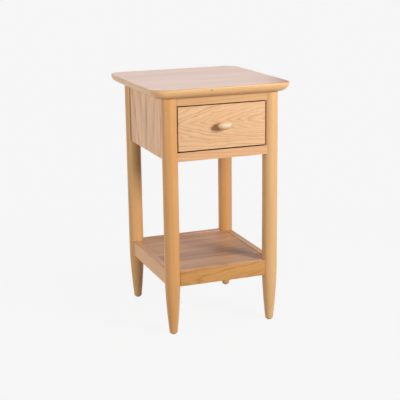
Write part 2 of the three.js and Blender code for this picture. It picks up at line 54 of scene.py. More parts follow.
class Tree:
    """The node tree of a material or a world, with short calls for the nodes used here."""

    def __init__(self, owner):
        owner.use_nodes = True
        self.nodes = owner.node_tree.nodes
        self.links = owner.node_tree.links
        self.nodes.clear()

    def feed(self, socket, value):
        if isinstance(value, bpy.types.NodeSocket):
            self.links.new(value, socket)
        else:
            socket.default_value = value

    def add(self, kind, inputs, **settings):
        node = self.nodes.new(kind)
        for key, value in settings.items():
            setattr(node, key, value)
        for key, value in inputs.items():
            self.feed(node.inputs[key], value)
        return node

    def object_place(self):
        return self.add("ShaderNodeTexCoord", {}).outputs["Object"]

    def math(self, operation, a, b=0.0, c=0.0):
        return self.add("ShaderNodeMath", {0: a, 1: b, 2: c}, operation=operation).outputs[0]

    def multiply(self, a, b):
        return self.math("MULTIPLY", a, b)

    def scale_and_add(self, a, factor, offset):
        return self.math("MULTIPLY_ADD", a, factor, offset)

    def vector(self, operation, a, b):
        return self.add("ShaderNodeVectorMath", {0: a, 1: b}, operation=operation).outputs[0]

    def length(self, vector):
        return self.add("ShaderNodeVectorMath", {0: vector}, operation="LENGTH").outputs["Value"]

    def combine(self, x, y, z):
        return self.add("ShaderNodeCombineXYZ", {0: x, 1: y, 2: z}).outputs[0]

    def split(self, vector):
        return self.add("ShaderNodeSeparateXYZ", {0: vector}).outputs

    def noise(self, vector, detail=3.0, roughness=0.5):
        inputs = {"Vector": vector, "Scale": 1.0, "Detail": detail, "Roughness": roughness}
        return self.add("ShaderNodeTexNoise", inputs)

    def dice(self, number):
        """A random value and colour for each whole number."""
        return self.add("ShaderNodeTexWhiteNoise", {"W": number}, noise_dimensions="1D")

    def between(self, value, low, high, out_low=0.0, out_high=1.0):
        inputs = {
            "Value": value, "From Min": low, "From Max": high, "To Min": out_low, "To Max": out_high,
        }
        return self.add("ShaderNodeMapRange", inputs, interpolation_type="SMOOTHSTEP").outputs[0]

    def mix(self, factor, a, b, blend="MIX"):
        node = self.add("ShaderNodeMix", {0: factor, 6: a, 7: b}, data_type="RGBA", blend_type=blend)
        return node.outputs[2]

    def ramp(self, factor, stops):
        node = self.add("ShaderNodeValToRGB", {0: factor})
        elements = node.color_ramp.elements
        while len(elements) < len(stops):
            elements.new(0.5)
        for element, (place, level) in zip(elements, stops):
            element.position = place
            element.color = (level, level, level, 1.0)
        return node.outputs[0]

    def glow(self, colour, strength):
        return self.add("ShaderNodeEmission", {"Color": colour, "Strength": strength}).outputs[0]

    def show(self, shader):
        self.add("ShaderNodeOutputMaterial", {"Surface": shader})

    def finish(self, inputs, bump_height, bump_distance, bump_strength):
        bump = self.add("ShaderNodeBump", {
            "Height": bump_height, "Distance": bump_distance, "Strength": bump_strength,
        })
        shader = self.add("ShaderNodeBsdfPrincipled", {**inputs, "Normal": bump.outputs[0]})
        self.show(shader.outputs[0])


# ---- Camera, light and floor ---------------------------------------------------------------

CAMERA_AZIMUTH = -20.764
CAMERA_ELEVATION = 14.507
CAMERA_ROLL = math.radians(-0.768)
CAMERA_DISTANCE = 2.7801
CAMERA_TARGET = Vector((0.0026, -0.0024, 0.3168))
CAMERA_LENS = 89.66  # on a 36 mm sensor
STUDIO_RADIUS = 30.0
PALE = (0.9216, 0.9216, 0.9216, 1.0)
PAPER_ALBEDO = 0.04
NEAR_GLOW = 0.97
SHADOW_REACH = (0.5, 1.4)  # metres from the middle, between which the floor stops taking shadows
FLOOR_BOUNCE = 0.26
WALL_GLOW = 0.12
HORIZON = (-0.25, 0.05)  # heights on the world's unit ball, between which one turns into the other
BOUNCE_COLOUR = (1.0, 0.90, 0.76, 1.0)  # light that has been off the wood and the warm wall
WHITE = (1.0, 1.0, 1.0)
WARM_WHITE = (1.0, 0.975, 0.92)


def direction(azimuth, elevation):
    """Unit vector from the object to a place round it. Azimuth 0 is in front and 90 is to the right."""
    a, e = math.radians(azimuth), math.radians(elevation)
    return Vector((math.sin(a) * math.cos(e), -math.cos(a) * math.cos(e), math.sin(e)))


def make_camera():
    back = direction(CAMERA_AZIMUTH, CAMERA_ELEVATION)
    right = (-back).cross(Vector(UP)).normalized()
    up = right.cross(-back)
    cos, sin = math.cos(CAMERA_ROLL), math.sin(CAMERA_ROLL)
    rolled_right = cos * right + sin * up
    rolled_up = cos * up - sin * right
    camera = bpy.data.objects.new("camera", bpy.data.cameras.new("camera"))
    camera.data.sensor_width = 36
    camera.data.lens = CAMERA_LENS
    camera.data.clip_end = 100
    turn = Matrix((rolled_right, rolled_up, back)).transposed().to_4x4()
    camera.matrix_world = Matrix.Translation(CAMERA_TARGET + back * CAMERA_DISTANCE) @ turn
    bpy.context.scene.collection.objects.link(camera)
    bpy.context.scene.camera = camera


def make_softbox(name, azimuth, elevation, distance, size, strength, height=0.4, colour=WHITE):
    """An area light that gives a white surface that faces it, at that height, about that radiance."""
    lamp = bpy.data.lights.new(name, "AREA")
    lamp.shape = "RECTANGLE"
    lamp.size, lamp.size_y = size
    lamp.energy = strength * math.pi ** 2 * distance ** 2
    lamp.color = colour
    box = bpy.data.objects.new(name, lamp)
    away = direction(azimuth, elevation)
    box.location = Vector((0, 0, height)) + away * distance
    box.rotation_mode = "QUATERNION"
    box.rotation_quaternion = away.to_track_quat("Z", "Y")
    box.visible_camera = False
    bpy.context.scene.collection.objects.link(box)


def make_world():
    """Dim studio walls with a brighter lower half, which stands for light off the floor."""
    world = bpy.data.worlds.new("studio")
    bpy.context.scene.world = world
    tree = Tree(world)
    outward = tree.add("ShaderNodeTexCoord", {}).outputs["Generated"]
    strength = tree.between(tree.split(outward)["Z"], *HORIZON, FLOOR_BOUNCE, WALL_GLOW)
    background = tree.add("ShaderNodeBackground", {"Color": BOUNCE_COLOUR, "Strength": strength})
    tree.add("ShaderNodeOutputWorld", {"Surface": background.outputs[0]})


def pale_paper(name, takes_shadows):
    """Pale studio paper with an even glow. Near the object a little of it can take shadows instead."""
    material = bpy.data.materials.new(name)
    tree = Tree(material)
    paper = tree.glow(PALE, 1.0)
    if takes_shadows:
        albedo = (PAPER_ALBEDO, PAPER_ALBEDO, PAPER_ALBEDO, 1.0)
        shaded = tree.add("ShaderNodeBsdfDiffuse", {"Color": albedo}).outputs[0]
        near = tree.add("ShaderNodeAddShader", {0: tree.glow(PALE, NEAR_GLOW), 1: shaded}).outputs[0]
        farness = tree.between(tree.length(tree.object_place()), *SHADOW_REACH)
        paper = tree.add("ShaderNodeMixShader", {0: farness, 1: near, 2: paper}).outputs[0]
    tree.show(paper)
    return material


def new_mesh_object(name, vertices, faces):
    mesh = bpy.data.meshes.new(name)
    mesh.from_pydata([tuple(v) for v in vertices], [], faces)
    mesh.update()
    made = bpy.data.objects.new(name, mesh)
    bpy.context.scene.collection.objects.link(made)
    return made


def make_studio():
    """A round floor, and a dome that only the camera sees."""
    steps = 64
    angles = [2 * math.pi * k / steps for k in range(steps)]
    floor_rim = [(STUDIO_RADIUS * math.cos(a), STUDIO_RADIUS * math.sin(a), 0) for a in angles]
    floor = new_mesh_object("studio_floor", floor_rim, [list(range(steps))])
    floor.data.materials.append(pale_paper("floor_paper", takes_shadows=True))
    floor.visible_diffuse = False
    dome = new_mesh_object("studio_dome", [], [])
    dome_mesh = bmesh.new()
    bmesh.ops.create_uvsphere(dome_mesh, u_segments=48, v_segments=24, radius=STUDIO_RADIUS)
    dome_mesh.to_mesh(dome.data)
    dome_mesh.free()
    dome.data.materials.append(pale_paper("dome_paper", takes_shadows=False))
    dome.visible_diffuse = False
    dome.visible_glossy = False
    dome.visible_transmission = False
    dome.visible_shadow = False


bpy.context.scene.view_settings.view_transform = "Standard"
bpy.context.scene.view_settings.look = "None"
make_camera()
make_world()
make_softbox("key_softbox", azimuth=32, elevation=20, distance=2.8, size=(0.8, 0.8), strength=1.01)
make_softbox(
    "fill_softbox", azimuth=-72, elevation=9, distance=3.0, size=(2.0, 2.0), strength=0.57,
    colour=WARM_WHITE,
)
make_softbox(
    "back_softbox", azimuth=184, elevation=24, distance=1.35, size=(2.0, 0.75), strength=0.52,
    height=0.66,
)
make_studio()


# ---- Wood ----------------------------------------------------------------------------------

# The order in which x, y and z become across, across and along, for each grain direction.
GRAIN_ORDER = {"x": (1, 2, 0), "y": (0, 2, 1), "z": (0, 1, 2)}

# Sizes of the wood's features in millimetres: across the grain, then along it.
WANDER_SIZE = (70, 210)
RIPPLE_SIZE = (17, 48)
JITTER_SIZE = (9, 60)
FIBRE_SIZE = (0.9, 42)
PORE_SIZE = (0.62, 8.5)
CLOUD_SIZE = (60, 200)
STREAK_LENGTH = 260
STAVE_JUMP = (90.0, 24.0, 700.0)  # how far apart in the log two staves can come from

# Lightness through one year's growth, from the porous early wood to the dense late wood.
YEAR_TONE = ((0.0, 0.10), (0.10, 0.30), (0.30, 0.85), (0.55, 1.0), (0.9, 0.62), (1.0, 0.40))
FINE_TONE = ((0.0, 0.3), (0.25, 0.8), (0.6, 1.0), (1.0, 0.6))
FINE_LINES = 3.7  # to a year
FAINTEST_YEAR = 0.35
PACE_FREQUENCY = 0.55
PACE_CHANGE = 1.5
YEAR_WEIGHT = 0.62
FINE_WEIGHT = 0.14
FIBRE_WEIGHT = 0.12
USUAL_STREAK_WEIGHT = 0.12
STRAIGHT_LEAN = 0.2  # the share of the lean that is left where the rings turn straight

CLOUD_TINT = (0.35, 0.70, 0.0, 0.55)
STAVE_WARMTH = 0.7
STAVE_LIGHTNESS = 0.98
PORE_DARKNESS = 0.42
# how far the colour darkens at a joint: painted shade, with some pooled finish
JOINT_POOL_AND_SHADE_DARKNESS = 0.9
SATIN_ROUGHNESS = 0.40
GRAIN_RELIEF = 0.12 * MM


def srgb(red, green, blue):
    """A screen colour on the 0 to 255 scale, as linear light."""
    def linear(value):
        share = value / 255
        return share / 12.92 if share <= 0.04045 else ((share + 0.055) / 1.055) ** 2.4
    return (linear(red), linear(green), linear(blue), 1.0)


PORE_BROWN = srgb(96, 58, 30)
# brown of the painted shade, with some pooled finish, along a joint
JOINT_POOL_AND_SHADE_BROWN = srgb(128, 78, 34)


class Timber:
    """Where each point of a piece lies in the log that it was cut from, in millimetres."""

    def __init__(self, tree, grain, seed, stave):
        self.tree = tree
        self.seed = seed
        self.place = tree.vector("MULTIPLY", tree.object_place(), (1 / MM, 1 / MM, 1 / MM))
        self.axes = tree.split(self.place)
        self.across, self.depth, self.along = (self.axes[k] for k in GRAIN_ORDER[grain])
        self.stave_random = None
        if stave is not None:
            self.cut_staves(stave)

    def cut_staves(self, width):
        """Takes each of the boards that are glued side by side from another part of the log."""
        tree = self.tree
        number = tree.math("DIVIDE", tree.math("ADD", self.across, width / 3), width)
        index = tree.math("FLOOR", number)
        self.stave_random = tree.split(tree.dice(tree.math("ADD", index, self.seed)).outputs["Color"])
        self.across = tree.scale_and_add(self.stave_random[0], STAVE_JUMP[0], self.across)
        self.depth = tree.scale_and_add(self.stave_random[1], STAVE_JUMP[1], self.depth)
        self.along = tree.scale_and_add(self.stave_random[2], STAVE_JUMP[2], self.along)

    def stretched(self, across_size, along_size):
        """The place measured in features of that size."""
        return self.tree.combine(
            self.tree.scale_and_add(self.across, 1 / across_size, self.seed),
            self.tree.multiply(self.depth, 1 / across_size),
            self.tree.multiply(self.along, 1 / along_size),
        )

    def noise(self, size, detail=3.0, roughness=0.5):
        """Noise with features of that size, across and along the grain."""
        return self.tree.noise(self.stretched(*size), detail, roughness).outputs

    def rings(self, pith, spacing, lean, lean_fade, wobble, ripple, jitter):
        """How many years of growth lie between the heart of the log and this place."""
        tree = self.tree
        wander = tree.split(self.noise(WANDER_SIZE, detail=2.0)["Color"])
        from_pith = [
            tree.scale_and_add(wander[k], wobble, tree.math("SUBTRACT", coordinate, pith[k]))
            for k, coordinate in enumerate((self.across, self.depth))
        ]
        radius = tree.length(tree.combine(*from_pith, 0.0))
        if ripple:
            radius = tree.scale_and_add(self.noise(RIPPLE_SIZE, detail=2.0)["Fac"], ripple, radius)
        climb = lean if lean_fade is None else tree.between(radius, *lean_fade, lean, lean * STRAIGHT_LEAN)
        level = tree.math("SUBTRACT", radius, tree.multiply(self.along, climb))
        years = tree.math("DIVIDE", level, spacing)
        years = tree.scale_and_add(self.noise(JITTER_SIZE, detail=2.0)["Fac"], jitter, years)
        pace_place = tree.combine(tree.multiply(years, PACE_FREQUENCY), self.seed, 0.0)
        pace = tree.noise(pace_place, detail=1.0).outputs["Fac"]
        return tree.scale_and_add(pace, PACE_CHANGE, years)

    def year_lightness(self, years, phase):
        """Lightness of the growth rings, some years faint and some strong."""
        tree = self.tree
        year = tree.math("ADD", tree.math("FLOOR", years), self.seed)
        strength = tree.scale_and_add(tree.dice(year).outputs["Value"], 1 - FAINTEST_YEAR, FAINTEST_YEAR)
        darkness = tree.math("SUBTRACT", 1.0, tree.ramp(phase, YEAR_TONE))
        return tree.math("SUBTRACT", 1.0, tree.multiply(darkness, strength))

    def pores(self, phase):
        """1 in the open pores, which are mostly in the early wood."""
        tree = self.tree
        cells = tree.add("ShaderNodeTexVoronoi", {"Vector": self.stretched(*PORE_SIZE), "Scale": 1.0})
        dash = tree.between(cells.outputs["Distance"], 0.16, 0.30, 1.0, 0.0)
        return tree.multiply(dash, tree.between(phase, 0.05, 0.42, 1.0, 0.22))


def face_mask(tree, outward):
    """1 on the faces that look in a direction, 0 on the others."""
    normal = tree.add("ShaderNodeTexCoord", {}).outputs["Normal"]
    facing = tree.add("ShaderNodeVectorMath", {0: normal, 1: outward}, operation="DOT_PRODUCT")
    return tree.between(facing.outputs["Value"], 0.75, 0.97)


def add_mark(tree, place, colour, mark):
    """A pin knot, a dark flame or a dark end: an oval core with a halo round it."""
    reach = tree.vector("DIVIDE", tree.vector("SUBTRACT", place, mark["centre"]), mark["size"])
    distance = tree.length(reach)
    halo = tree.between(distance, 0.9, 2.4, mark["depth"] * 0.6, 0.0)
    core = tree.between(distance, 0.5, 1.1, mark["depth"], 0.0)
    return tree.mix(core, tree.mix(halo, colour, mark["halo"]), mark["core"])


def shade_staves(tree, timber, colour, warm, stave_range):
    """Makes some staves warmer and some darker than the others."""
    colour = tree.mix(tree.multiply(timber.stave_random[1], STAVE_WARMTH), colour, warm)
    darkest = STAVE_LIGHTNESS - stave_range / 2
    shade = tree.scale_and_add(timber.stave_random[0], stave_range, darkest)
    return tree.mix(1.0, colour, tree.combine(shade, shade, shade), blend="MULTIPLY")


def wood(
    name,
    grain,
    pith,
    spacing,
    light,
    dark,
    tint,
    lean=0.0,
    lean_fade=None,
    wobble=5.0,
    ripple=0.0,
    jitter=0.55,
    contrast=0.6,
    seed=0.0,
    stave=None,
    stave_range=0.16,
    streak_size=5.0,
    streak_weight=USUAL_STREAK_WEIGHT,
    mark=None,
    gloss=0.5,
    coat_roughness=0.28,
    specular=0.35,
    face_tones=(),
    finish_pool_and_shade=None,
):
    """Open-pored wood under satin lacquer, cut from a log whose heart is at pith, in millimetres.

    spacing is the width of a growth ring, lean how fast the rings climb along the grain, which
    draws the arched figure, and stave the width of the boards that are glued side by side.
    lean_fade holds the two radii between which the rings turn straight. wobble, ripple and jitter
    bend the rings on ever smaller scales. face_tones lists a direction and the tones of the faces
    that look that way, and here paints sheen on the faces that look up. finish_pool_and_shade gives
    the two places along y between which the colour turns browner towards a joint: painted shade in
    the joint's corner, with some pooled finish.
    """
    material = bpy.data.materials.new(name)
    tree = Tree(material)
    timber = Timber(tree, grain, seed, stave)
    years = timber.rings(pith, spacing, lean, lean_fade, wobble, ripple, jitter)
    phase = tree.math("FRACT", years)
    fine_phase = tree.math("FRACT", tree.multiply(years, FINE_LINES))
    fibre = timber.noise(FIBRE_SIZE, detail=5.0, roughness=0.65)["Fac"]
    streak = timber.noise((streak_size, STREAK_LENGTH))["Fac"]
    cloud = timber.noise(CLOUD_SIZE, detail=1.0)["Fac"]
    pore = timber.pores(phase)

    fine = tree.multiply(tree.ramp(fine_phase, FINE_TONE), FINE_WEIGHT)
    figure = tree.scale_and_add(timber.year_lightness(years, phase), YEAR_WEIGHT, fine)
    figure = tree.scale_and_add(tree.between(fibre, 0.3, 0.7), FIBRE_WEIGHT, figure)
    figure = tree.scale_and_add(tree.between(streak, 0.3, 0.7), streak_weight, figure)
    figure = tree.math("ADD", figure, USUAL_STREAK_WEIGHT - streak_weight)
    lightness = tree.scale_and_add(tree.math("SUBTRACT", figure, 1.0), contrast, 1.0)

    # the face tones here paint sheen on the faces that look up
    for outward, other in face_tones:
        facing = face_mask(tree, outward)
        light = tree.mix(facing, light, other["light"])
        dark = tree.mix(facing, dark, other["dark"])
        tint = tree.mix(facing, tint, other["tint"])
    warm = tree.mix(lightness, dark, tint)
    colour = tree.mix(lightness, dark, light)
    colour = tree.mix(tree.between(cloud, *CLOUD_TINT), colour, warm)
    if stave is not None:
        colour = shade_staves(tree, timber, colour, warm, stave_range)
    colour = tree.mix(tree.multiply(pore, PORE_DARKNESS), colour, tree.mix(0.5, dark, PORE_BROWN))
    if mark is not None:
        colour = add_mark(tree, timber.place, colour, mark)
    # painted shade, with some pooled finish: darkens the colour towards a joint
    if finish_pool_and_shade is not None:
        nearness = tree.between(timber.axes[1], *finish_pool_and_shade, 0.0, JOINT_POOL_AND_SHADE_DARKNESS)
        colour = tree.mix(nearness, colour, JOINT_POOL_AND_SHADE_BROWN)

    fibre_roughness = tree.scale_and_add(fibre, 0.12, SATIN_ROUGHNESS)
    inputs = {
        "Base Color": colour,
        "Roughness": tree.scale_and_add(pore, 0.22, fibre_roughness),
        "Specular IOR Level": specular,
        "Coat Weight": gloss,
        "Coat Roughness": coat_roughness,
        "Coat IOR": 1.5,
    }
    height = tree.scale_and_add(pore, -1.0, tree.multiply(fibre, 0.35))
    tree.finish(inputs, height, GRAIN_RELIEF, 0.5)
    return material


# ---- Steel and plastic ---------------------------------------------------------------------

def speckle(tree, *frequency, detail):
    """Noise with that many features to a metre along x, y and z."""
    place = tree.vector("MULTIPLY", tree.object_place(), frequency)
    return tree.noise(place, detail=detail).outputs["Fac"]


def steel(name):
    """Zinc-plated screw steel with fine turning marks and a yellowish film."""
    material = bpy.data.materials.new(name)
    tree = Tree(material)
    grains = speckle(tree, 1800, 1800, 9000, detail=2.0)
    film = speckle(tree, 260, 260, 260, detail=2.0)
    colour = tree.mix(tree.between(film, 0.35, 0.7), srgb(196, 196, 192), srgb(204, 192, 150))
    roughness = tree.scale_and_add(grains, 0.25, 0.22)
    inputs = {"Base Color": colour, "Roughness": roughness, "Metallic": 1.0}
    tree.finish(inputs, grains, 0.02 * MM, 0.4)
    return material


def glide_plastic(name):
    """Brown moulded nylon with scuffs."""
    material = bpy.data.materials.new(name)
    tree = Tree(material)
    scuff = speckle(tree, 900, 900, 900, detail=4.0)
    colour = tree.mix(tree.between(scuff, 0.4, 0.7), srgb(92, 70, 52), srgb(120, 98, 78))
    roughness = tree.scale_and_add(scuff, 0.3, 0.45)
    tree.finish({"Base Color": colour, "Roughness": roughness}, scuff, 0.05 * MM, 0.4)
    return material


# ---- The materials of this cabinet ---------------------------------------------------------

def tones(light, dark, tint):
    return {"light": srgb(*light), "dark": srgb(*dark), "tint": srgb(*tint)}


GOLD = tones((224, 166, 100), (186, 124, 64), (218, 156, 92))
LEG_GOLD = tones((213, 157, 94), (180, 118, 60), (208, 148, 88))
LEG_PALE = tones((219, 174, 119), (188, 134, 80), (214, 166, 112))
LEG_BROWN = tones((204, 151, 91), (172, 114, 60), (200, 142, 84))
LEG_DULL = tones((213, 166, 105), (178, 128, 74), (208, 156, 98))
# tone of the top's upward face; how it differs from the edge band's tone is painted sheen
TOP_PINK = tones((236, 182, 147), (192, 138, 108), (232, 170, 144))
TOP_EDGE = tones((232, 186, 132), (192, 138, 84), (226, 176, 121))
PINK = tones((226, 176, 126), (186, 132, 86), (218, 162, 122))
SHELF_PINK = tones((220, 170, 126), (154, 106, 76), (206, 152, 120))
SIDE_PINK = tones((244, 198, 146), (176, 116, 76), (238, 182, 142))
CREAM = tones((226, 186, 141), (176, 118, 74), (222, 172, 132))
BOTTOM_RAIL = tones((224, 176, 130), (176, 120, 70), (218, 162, 120))
# painted shade: a mid brown for the drawer front's top and bottom edges, which lie in the gaps
DRAWER_EDGE_SHADE = tones((156, 108, 66), (128, 84, 46), (150, 100, 60))
# painted shade: a near-black brown for the rails' faces that lie in the gaps round the drawer
GAP_SHADE_BROWN = tones((94, 55, 25), (70, 38, 16), (88, 50, 22))
AMBER = tones((208, 163, 110), (176, 124, 74), (204, 153, 102))
SHELF_RAIL = tones((209, 153, 84), (144, 89, 36), (203, 146, 78))
KNOB_PALE = tones((240, 214, 182), (180, 134, 90), (230, 198, 160))
LINING = tones((228, 202, 160), (204, 172, 126), (222, 190, 150))

# painted sheen: the faces that look up take the shelf's pinker tone
PAINTED_SHEEN_UP = ((UP, SHELF_PINK),)
PIN_KNOT = {
    "centre": (-38.0, -205.4, 653.0),
    "size": (2.6, 2.6, 1.7),
    "halo": srgb(176, 118, 66),
    "core": srgb(74, 42, 24),
    "depth": 0.92,
}
DARK_END = {
    "centre": (23.0, -190.0, 555.0),
    "size": (6.0, 9.0, 6.5),
    "halo": srgb(198, 154, 98),
    "core": srgb(160, 112, 62),
    "depth": 0.85,
}
DARK_FLAME = {
    "centre": (-151.0, -12.0, 566.0),
    "size": (9.0, 7.0, 46.0),
    "halo": srgb(186, 128, 92),
    "core": srgb(158, 104, 76),
    "depth": 0.65,
}

MATERIALS = {
    "top": wood(
        "oak_top", "x", (40, 500), 6.0, lean=0.02, stave=68, stave_range=0.1, seed=3.0,
        # painted sheen: the upward face takes a pinker tone than the edge band
        face_tones=((UP, TOP_PINK),), mark=PIN_KNOT, **TOP_EDGE,
    ),
    "front_rail_top": wood(
        "oak_front_rail_top", "x", (-230, 560), 6.5, lean=0.03, seed=1.0, contrast=0.8, **AMBER,
    ),
    "front_rail_bottom": wood(
        "oak_front_rail_bottom", "x", (-240, 540), 6.5, lean=0.04, seed=15.0, contrast=0.9,
        streak_size=9, streak_weight=0.3, **BOTTOM_RAIL,
    ),
    # painted shade on the rails' faces in the gaps round the drawer, dull so that it takes no sheen
    "painted_gap_shade": wood(
        "oak_painted_gap_shade", "x", (-300, 560), 7.0, seed=19.0, gloss=0.0, specular=0.05, **GAP_SHADE_BROWN,
    ),
    # painted shade on the drawer front's top and bottom edges, dull so that it takes no sheen
    "drawer_edge_shade": wood(
        "oak_drawer_edge_shade", "x", (-300, 560), 7.0, seed=20.0, gloss=0.0, specular=0.05, **DRAWER_EDGE_SHADE,
    ),
    "shelf_rail_front": wood(
        "oak_shelf_rail_front", "x", (-146, 118), 13.0, lean=0.42, lean_fade=(44, 70), seed=6.4,
        wobble=44, jitter=1.4, ripple=12, contrast=1.0, face_tones=PAINTED_SHEEN_UP, **SHELF_RAIL,
    ),
    "shelf_rail_back": wood(
        "oak_shelf_rail_back", "x", (158, 168), 9.0, lean=0.1, seed=6.0, contrast=0.9, **SHELF_PINK,
    ),
    "shelf_rail_left": wood(
        "oak_shelf_rail_left", "y", (-190, 200), 6.0, lean=0.05, seed=7.0, face_tones=PAINTED_SHEEN_UP, **GOLD,
    ),
    # the whole rail takes the shelf's pinker tone: painted sheen, as on the upward faces of the other shelf
    # rails
    "shelf_rail_right": wood(
        "oak_shelf_rail_right", "y", (190, 200), 6.0, lean=0.05, seed=7.5, **SHELF_PINK,
    ),
    # both side panels darken towards the back legs: painted shade, with some pooled finish
    "side_panel_left": wood(
        "oak_side_panel_left", "z", (-112, -4), 58.0, lean=0.3, seed=2.0, wobble=40, contrast=1.0,
        streak_size=16, streak_weight=0.35, mark=DARK_FLAME, finish_pool_and_shade=(121, 132), **SIDE_PINK,
    ),
    "side_panel_right": wood(
        "oak_side_panel_right", "z", (104, 8), 9.0, lean=0.2, lean_fade=(50, 80), seed=21.4, wobble=14,
        jitter=0.9, ripple=6, contrast=0.8, streak_size=16, streak_weight=0.25, finish_pool_and_shade=(121, 132),
        **SIDE_PINK,
    ),
    "back_panel": wood("oak_back_panel", "x", (210, 520), 9.0, lean=0.10, seed=9.0, **PINK),
    "leg_front_left": wood(
        "oak_leg_front_left", "z", (-60, -330), 7.0, lean=0.01, seed=4.0, contrast=0.4, **LEG_GOLD,
    ),
    "leg_front_right": wood(
        "oak_leg_front_right", "z", (90, -340), 7.0, lean=0.01, seed=16.0, contrast=0.4, **LEG_PALE,
    ),
    "leg_back_left": wood(
        "oak_leg_back_left", "z", (-60, 20), 7.0, lean=0.01, seed=17.0, contrast=0.4, **LEG_DULL,
    ),
    "leg_back_right": wood(
        "oak_leg_back_right", "z", (60, 10), 7.0, lean=0.01, seed=18.0, contrast=0.4, **LEG_BROWN,
    ),
    "shelf": wood(
        "oak_shelf", "x", (20, 60), 6.0, lean=0.03, stave=64, stave_range=0.34, seed=5.0,
        contrast=1.1, streak_size=11, streak_weight=0.3, **SHELF_PINK,
    ),
    "drawer_front": wood(
        "oak_drawer_front", "x", (-162, 577), 8.0, lean=0.24, lean_fade=(26, 66), seed=8.3,
        contrast=1.05, wobble=16, jitter=1.3, ripple=9, **CREAM,
    ),
    "knob": wood(
        "pale_oak_knob", "x", (-175, 552), 3.6, seed=10.0, contrast=1.2, gloss=0.3,
        coat_roughness=0.5, mark=DARK_END, **KNOB_PALE,
    ),
    "slides": wood("oak_slides", "y", (0, 400), 5.0, seed=11.0, **GOLD),
    "cleat_x": wood("oak_cleat_x", "x", (0, 100), 5.0, seed=12.0, **GOLD),
    "lining": wood("drawer_lining", "y", (200, 480), 6.0, seed=13.0, contrast=0.4, gloss=0.2, **LINING),
    "lining_x": wood("drawer_lining_x", "x", (200, 480), 6.0, seed=14.0, contrast=0.4, gloss=0.2, **LINING),
    "steel": steel("screw_steel"),
    "glide": glide_plastic("glide_plastic"),
}


# ---- Mesh helpers --------------------------------------------------------------------------

def middle(node):
    low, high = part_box(node)
    return (low + high) / 2


leg_low, leg_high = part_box("leg_back_right")
LEG_RADIUS = (leg_high.x - leg_low.x) / 2
MIDDLE = (middle("leg_back_right") + middle("leg_front_left")) / 2  # of the four legs
LEG_OFFSET = middle("leg_back_right") - MIDDLE
SCRIBE_GAP = 0.1 * MM
NOTCH_GAP = 0.5 * MM
CUT_OVERRUN = 1 * MM


def quarter_turn(steps):
    """Angles from 0 to a right angle."""
    return [step / steps * math.pi / 2 for step in range(steps + 1)]


def add_piece(made, material, body, node):
    made.data.materials.append(MATERIALS[material])
    made.data.shade_smooth()
    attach(made, body)
    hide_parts(node)
    return made


def paint_gap_shade(made, material, *directions):
    """Gives the faces that look in these directions, which lie hidden in a gap, a second material: painted
    shade.
    """
    made.data.materials.append(MATERIALS[material])
    for face in made.data.polygons:
        if any(face.normal.dot(Vector(outward)) > 0.9 for outward in directions):
            face.material_index = 1


def soften(made, width, segments=3, harden=True):
    """Rounds every sharp edge. harden keeps the shading of the flats flat right up to it."""
    bevel = made.modifiers.new("arris", "BEVEL")
    bevel.width = width
    bevel.segments = segments
    bevel.limit_method = "ANGLE"
    bevel.angle_limit = math.radians(30)
    bevel.use_clamp_overlap = False
    bevel.harden_normals = harden
    return made


def weigh_normals(made):
    """Lets the large flats decide the shading where they meet a curve."""
    weighted = made.modifiers.new("flats", "WEIGHTED_NORMAL")
    weighted.keep_sharp = True
    weighted.weight = 100


def keep_sharp(made, degrees):
    """Shades the edges that are sharper than this as edges, and the others smooth."""
    made.data.set_sharp_from_angle(angle=math.radians(degrees))


def apply_modifiers(made):
    depsgraph = bpy.context.evaluated_depsgraph_get()
    made.data = bpy.data.meshes.new_from_object(made.evaluated_get(depsgraph))
    made.modifiers.clear()


def combine(made, other, operation):
    """Joins another shape to one or cuts it out, and leaves no trace of the other."""
    joint = made.modifiers.new("joint", "BOOLEAN")
    joint.operation = operation
    joint.solver = "EXACT"
    joint.object = other
    apply_modifiers(made)
    bpy.data.objects.remove(other)


def lathe(name, profile, centre, segments):
    """A turned shape about a vertical axis, from (radius, height) pairs with a point at each end."""
    vertices = [Vector((centre[0], centre[1], profile[0][1]))]
    for radius, height in profile[1:-1]:
        for k in range(segments):
            angle = 2 * math.pi * k / segments
            offset = Vector((math.cos(angle), math.sin(angle), 0)) * radius
            vertices.append(Vector((centre[0], centre[1], height)) + offset)
    vertices.append(Vector((centre[0], centre[1], profile[-1][1])))
    faces = []
    last = len(vertices) - 1
    rings = len(profile) - 2
    for k in range(segments):
        following = (k + 1) % segments
        faces.append([0, 1 + following, 1 + k])
        for ring in range(rings - 1):
            low = 1 + ring * segments
            high = low + segments
            faces.append([low + k, low + following, high + following, high + k])
        top = 1 + (rings - 1) * segments
        faces.append([top + k, top + following, last])
    return new_mesh_object(name, vertices, faces)


def loft(name, rings):
    """A skin over outlines that all have the same number of points, lowest first."""
    count = len(rings[0])
    vertices = [point for ring in rings for point in ring]
    faces = [list(range(count))[::-1]]
    for low in range(0, count * (len(rings) - 1), count):
        for k in range(count):
            following = (k + 1) % count
            faces.append([low + k, low + following, low + count + following, low + count + k])
    top = count * (len(rings) - 1)
    faces.append(list(range(top, top + count)))
    return new_mesh_object(name, vertices, faces)


def prism(name, outline, low, high):
    """An upright prism on an anticlockwise plan outline, which is laid out about the legs' middle."""
    rings = [[Vector((MIDDLE.x + x, MIDDLE.y + y, z)) for x, y in outline] for z in (low, high)]
    return loft(name, rings)


# ---- Top board -----------------------------------------------------------------------------

TOP_CORNER = 39 * MM
TOP_ARRIS = 2.5 * MM
TOP_BAND = 3 * MM
TOP_UNDERCUT = 30 * MM
TOP_CORNER_STEPS = 20
TOP_UNDERCUT_STEPS = 18
TOP_ARRIS_STEPS = 8


